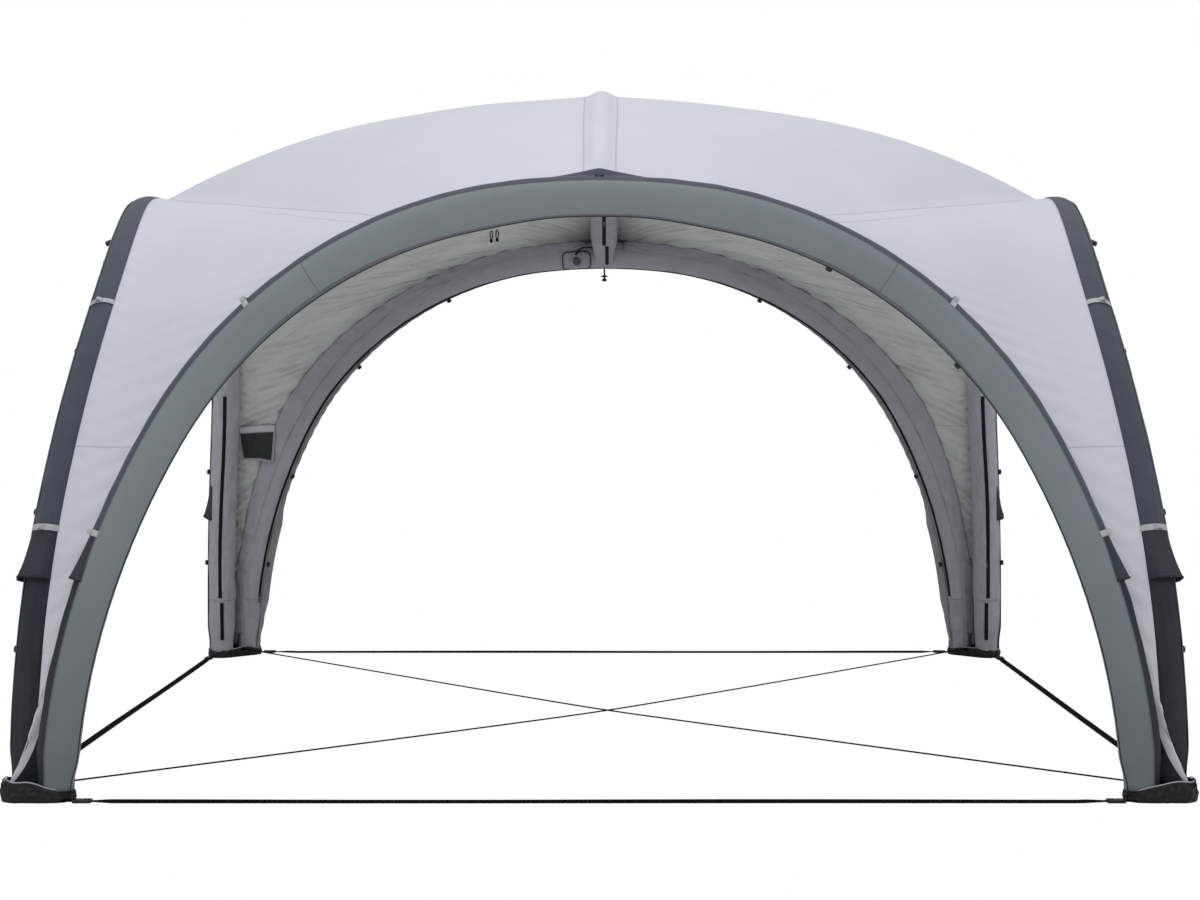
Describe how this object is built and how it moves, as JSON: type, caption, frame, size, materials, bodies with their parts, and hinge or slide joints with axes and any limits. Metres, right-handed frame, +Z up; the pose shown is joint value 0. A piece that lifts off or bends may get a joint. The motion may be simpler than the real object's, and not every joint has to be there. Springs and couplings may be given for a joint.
{
  "type": "inflatable party tent",
  "caption": "Open-sided event shelter on arched inflatable beams, with a stretched fabric canopy, corner boots and ground straps that hold its feet together.",
  "frame": {"origin": "on the ground at the middle of the square that the four boots make", "axes": "+Z up, -Y towards the front opening, +X to the right seen from the front; the ridge beam runs along Y"},
  "size_m": [3.645, 3.645, 2.3629],
  "materials": {
    "canopy_grey": "light grey woven polyester, matt",
    "sleeve_navy": "dark navy woven polyester, matt",
    "fascia_green_grey": "green-grey woven polyester, matt",
    "bladder_clear_grey": "thin airtight film, satin",
    "boot_black": "black coated fabric, satin",
    "webbing_black": "black woven webbing and cord",
    "buckle_black": "black moulded plastic",
    "mesh_black": "black open mesh",
    "valve_grey": "grey moulded plastic",
    "zip_metal": "plated zip slider"
  },
  "bodies": {
    "tent": {"bladder_back": "bladder_clear_grey", "bladder_front": "bladder_clear_grey", "bladder_left": "bladder_clear_grey", "bladder_ridge": "bladder_clear_grey", "bladder_right": "bladder_clear_grey", "boot_back_left": "boot_black", "boot_back_right": "boot_black", "boot_front_left": "boot_black", "boot_front_right": "boot_black", "buckle_socket_back_left": "buckle_black", "buckle_socket_back_right": "buckle_black", "buckle_socket_front_left": "buckle_black", "buckle_socket_front_right": "buckle_black", "buckle_socket_left_left": "buckle_black", "buckle_socket_left_right": "buckle_black", "buckle_socket_right_left": "buckle_black", "buckle_socket_right_right": "buckle_black", "canopy_left": "canopy_grey", "canopy_right": "canopy_grey", "cord_over": "webbing_black", "cord_under": "webbing_black", "crown_clip_back": "buckle_black", "crown_clip_front": "buckle_black", "fascia_back": "fascia_green_grey", "fascia_front": "fascia_green_grey", "fascia_left": "sleeve_navy", "fascia_right": "sleeve_navy", "mesh_pocket": "mesh_black", "ridge_cover": "canopy_grey", "sleeve_back": "sleeve_navy", "sleeve_front": "sleeve_navy", "sleeve_left": "sleeve_navy", "sleeve_ridge": "sleeve_navy", "sleeve_right": "sleeve_navy", "strap_back": "webbing_black", "strap_front": "webbing_black", "strap_left": "webbing_black", "strap_right": "webbing_black", "valve_body": "valve_grey"},
    "zip_slider_leg": {"zip_slider_leg": "zip_metal"},
    "zip_slider_ridge": {"zip_slider_ridge": "zip_metal"},
    "plug_front_left": {"buckle_plug_front_left": "buckle_black"},
    "plug_front_right": {"buckle_plug_front_right": "buckle_black"},
    "plug_right_left": {"buckle_plug_right_left": "buckle_black"},
    "plug_right_right": {"buckle_plug_right_right": "buckle_black"},
    "plug_back_left": {"buckle_plug_back_left": "buckle_black"},
    "plug_back_right": {"buckle_plug_back_right": "buckle_black"},
    "plug_left_left": {"buckle_plug_left_left": "buckle_black"},
    "plug_left_right": {"buckle_plug_left_right": "buckle_black"},
    "valve_cap": {"valve_cap": "valve_grey"},
    "lantern_toggle": {"lantern_toggle": "buckle_black"},
    "tie_loop_1": {"tie_loop_1": "webbing_black"},
    "tie_loop_2": {"tie_loop_2": "webbing_black"}
  },
  "joints": [
    {"name": "leg_zip_slide", "type": "slide", "parent": "tent", "child": "zip_slider_leg", "axis": [0.2605, -0.0661, 0.9632], "range_m": [0, 0.3]},
    {"name": "ridge_zip_slide", "type": "slide", "parent": "tent", "child": "zip_slider_ridge", "axis": [0, -0.9374, 0.3484], "range_m": [0, 0.3]},
    {"name": "buckle_front_left_release", "type": "slide", "parent": "tent", "child": "plug_front_left", "axis": [1, 0, 0], "range_m": [0, 0.019]},
    {"name": "buckle_front_right_release", "type": "slide", "parent": "tent", "child": "plug_front_right", "axis": [-1, 0, 0], "range_m": [0, 0.019]},
    {"name": "buckle_right_left_release", "type": "slide", "parent": "tent", "child": "plug_right_left", "axis": [0, 1, 0], "range_m": [0, 0.019]},
    {"name": "buckle_right_right_release", "type": "slide", "parent": "tent", "child": "plug_right_right", "axis": [0, -1, 0], "range_m": [0, 0.019]},
    {"name": "buckle_back_left_release", "type": "slide", "parent": "tent", "child": "plug_back_left", "axis": [-1, 0, 0], "range_m": [0, 0.019]},
    {"name": "buckle_back_right_release", "type": "slide", "parent": "tent", "child": "plug_back_right", "axis": [1, 0, 0], "range_m": [0, 0.019]},
    {"name": "buckle_left_left_release", "type": "slide", "parent": "tent", "child": "plug_left_left", "axis": [0, -1, 0], "range_m": [0, 0.019]},
    {"name": "buckle_left_right_release", "type": "slide", "parent": "tent", "child": "plug_left_right", "axis": [0, 1, 0], "range_m": [0, 0.019]},
    {"name": "valve_cap_turn", "type": "hinge", "parent": "tent", "child": "valve_cap", "pos_m": [-0.12729, 1.61884, 1.82561], "axis": [0.0512, -0.9236, -0.3798], "continuous": true},
    {"name": "lantern_toggle_swing", "type": "hinge", "parent": "tent", "child": "lantern_toggle", "pos_m": [0, 1.66965, 1.78911], "axis": [1, 0, 0], "range_deg": [-35, 35]},
    {"name": "tie_loop_1_swing", "type": "hinge", "parent": "tent", "child": "tie_loop_1", "pos_m": [-0.332, -1.7059, 1.73834], "axis": [1, 0, 0], "range_deg": [-40, 40]},
    {"name": "tie_loop_2_swing", "type": "hinge", "parent": "tent", "child": "tie_loop_2", "pos_m": [-0.314, -1.70705, 1.74147], "axis": [1, 0, 0], "range_deg": [-40, 40]}
  ]
}
